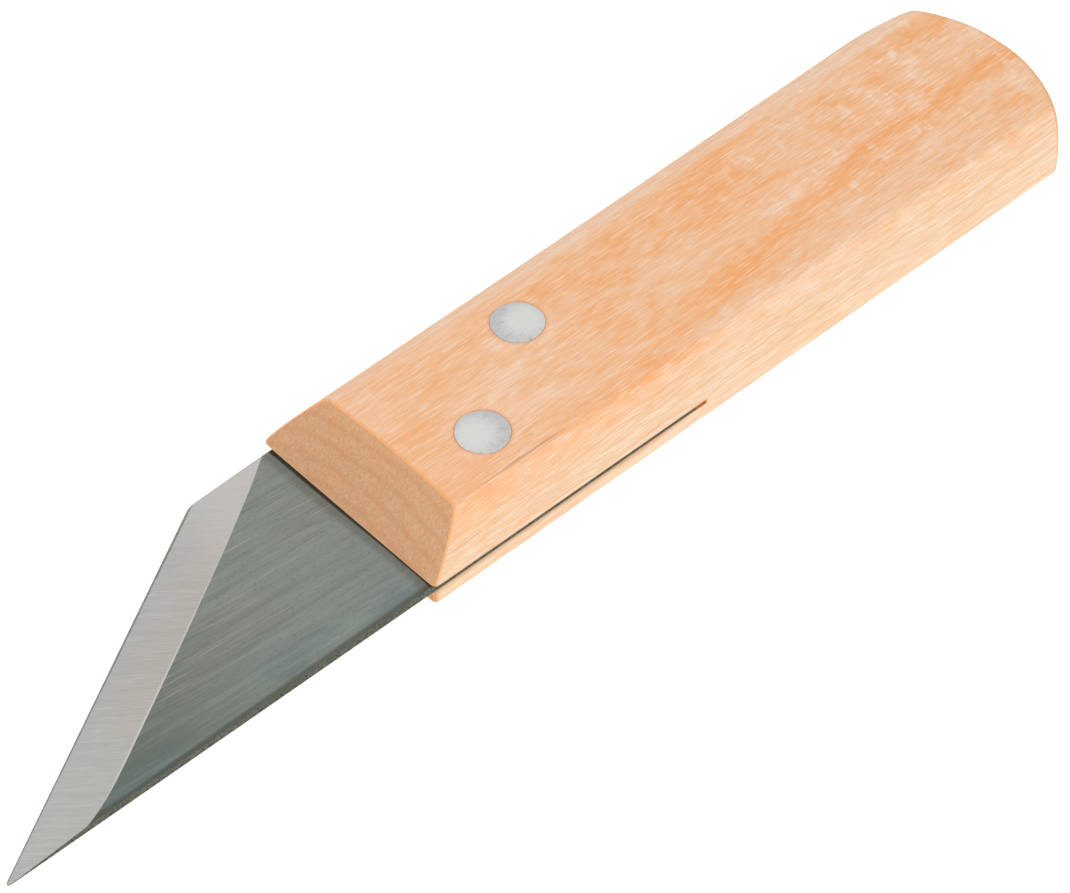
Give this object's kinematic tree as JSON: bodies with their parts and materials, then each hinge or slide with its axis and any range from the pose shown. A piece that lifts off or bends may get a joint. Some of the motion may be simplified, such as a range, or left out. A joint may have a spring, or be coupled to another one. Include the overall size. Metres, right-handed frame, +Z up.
{
  "type": "chip carving knife",
  "caption": "Skew-edged carving knife with a flat steel blade, riveted into a sawn kerf in a pale one-piece wooden handle.",
  "frame": {"origin": "on the flat underside of the handle, below the middle of the bounding box", "axes": "+X from the tip towards the butt, +Y from the spine side towards the cutting edge side, +Z up, square to the flat of the blade, with the bevel on the upper face"},
  "size_m": [0.1782, 0.0322, 0.0132],
  "materials": {
    "handle_wood": "sanded, unvarnished birch",
    "blade_steel": "hardened strip, grey flats with a ground satin bevel",
    "rivet_aluminium": "peened and ground flush, matt"
  },
  "bodies": {
    "root": {"handle": "handle_wood", "blade": "blade_steel", "front_rivet": "rivet_aluminium", "rear_rivet": "rivet_aluminium"}
  },
  "joints": []
}
